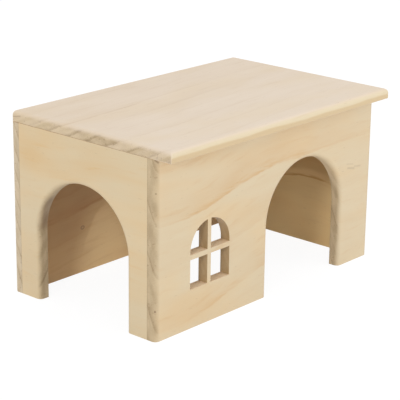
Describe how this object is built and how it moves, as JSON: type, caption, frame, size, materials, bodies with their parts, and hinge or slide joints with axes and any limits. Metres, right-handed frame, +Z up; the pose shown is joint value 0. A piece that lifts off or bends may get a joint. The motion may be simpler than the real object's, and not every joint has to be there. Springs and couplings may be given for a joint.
{
  "type": "wooden hamster house",
  "caption": "Open-bottomed wooden hamster house with a flat overhanging roof, arched doorways in its front and left end, and an arched window with a cross bar.",
  "frame": {"origin": "middle of the ground rectangle under the whole house, at the height it stands on", "axes": "+X along the house from the window end to the plain end, -Y to the front with the window and doorway, +Z up"},
  "size_m": [0.28, 0.179, 0.158],
  "materials": {
    "pine": "sanded, unvarnished",
    "beech": "plain dowel rod"
  },
  "bodies": {
    "root": {"roof_board": "pine", "front_wall": "pine", "left_end_wall": "pine", "right_end_wall": "pine", "back_wall": "pine", "front_left_dowels": "beech", "front_right_dowels": "beech", "back_left_dowels": "beech", "back_right_dowels": "beech", "front_roof_dowels": "beech", "back_roof_dowels": "beech", "left_roof_dowels": "beech", "right_roof_dowels": "beech"}
  },
  "joints": []
}
